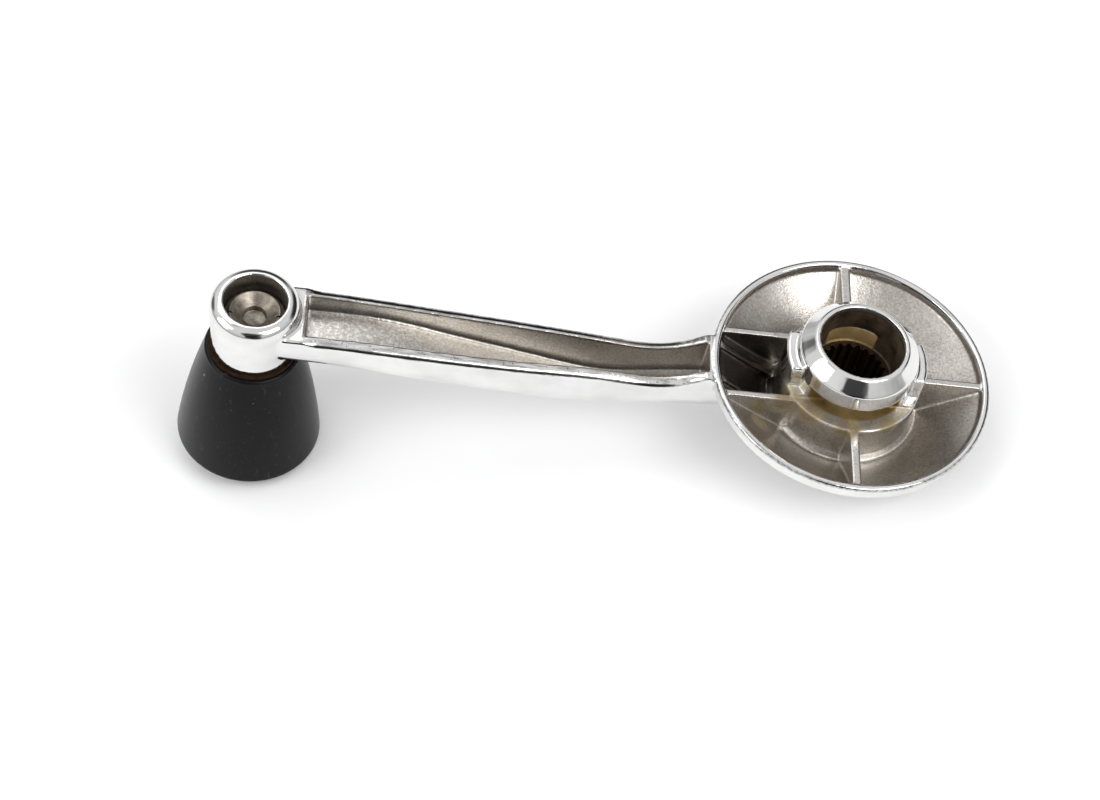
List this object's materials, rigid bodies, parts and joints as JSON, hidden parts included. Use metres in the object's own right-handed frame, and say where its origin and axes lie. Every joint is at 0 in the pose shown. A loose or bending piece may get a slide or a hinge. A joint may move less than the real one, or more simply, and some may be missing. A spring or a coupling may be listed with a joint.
{
  "type": "window crank handle",
  "caption": "Window winder handle: ribbed round dish with a splined, clip-slotted hub, a channelled arm and a free-turning conical knob on a swaged spindle.",
  "frame": {"origin": "centre of the hub's mouth, on the axis of the regulator spindle", "axes": "+Z along the spindle axis, out of the handle towards the door; the arm runs along -X to the knob; Y completes a right-handed frame"},
  "size_m": [0.143, 0.05, 0.0436],
  "materials": {
    "chromed_zinc": "polished outside, satin cast texture inside the dish and channel",
    "dark_steel": "dull, oiled",
    "rivet_steel": "dull, swaged",
    "rusty_steel": "surface rust",
    "black_plastic": "satin, lightly scratched"
  },
  "bodies": {
    "handle": {"handle_casting": "chromed_zinc", "splined_sleeve": "dark_steel", "rivet_washer": "rivet_steel", "friction_washer": "rusty_steel", "thrust_washer": "rivet_steel", "knob_spindle": "rivet_steel"},
    "knob": {"knob_body": "black_plastic", "knob_bush": "dark_steel", "knob_end_cap": "black_plastic"}
  },
  "joints": [
    {"name": "knob_spin", "type": "hinge", "parent": "handle", "child": "knob", "pos_m": [-0.105, 0, -0.031], "axis": [0, 0, 1], "continuous": true}
  ]
}
